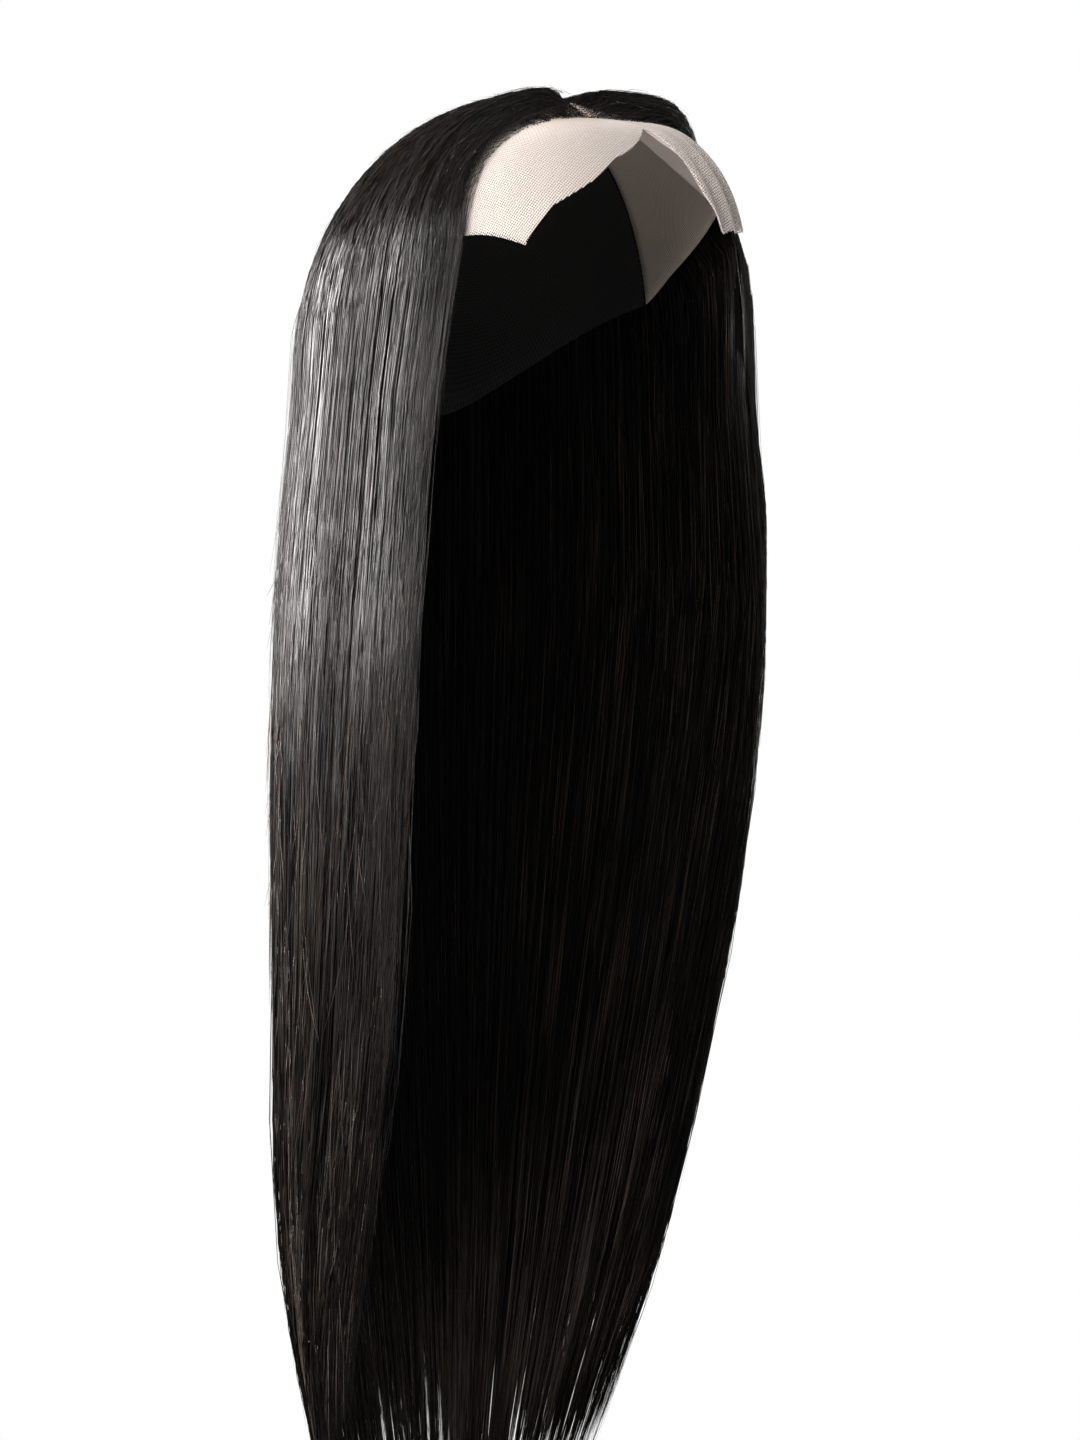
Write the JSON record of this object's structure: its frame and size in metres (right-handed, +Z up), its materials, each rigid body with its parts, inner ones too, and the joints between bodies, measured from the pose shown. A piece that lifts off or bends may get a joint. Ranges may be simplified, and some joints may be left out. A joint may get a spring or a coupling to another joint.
{
  "type": "lace closure wig",
  "caption": "Long straight dark wig: falls of hair hung from a net cap and a lace closure, with a parting over the crown and a notched free lace edge for the forehead.",
  "frame": {"origin": "inside of the cap at the crown, where the wig sits on the head", "axes": "+Z up along the hanging hair, -Y the way the wearer looks, +X the wearer's left"},
  "size_m": [0.2213, 0.2071, 0.6373],
  "materials": {
    "cap_net": "black stretch net",
    "lace": "fine beige net, matte",
    "hair": "straight near-black hair, satin gloss"
  },
  "bodies": {
    "root": {"cap": "cap_net", "lace_closure": "lace", "hair_right": "hair", "hair_back": "hair", "hair_left": "hair"}
  },
  "joints": []
}
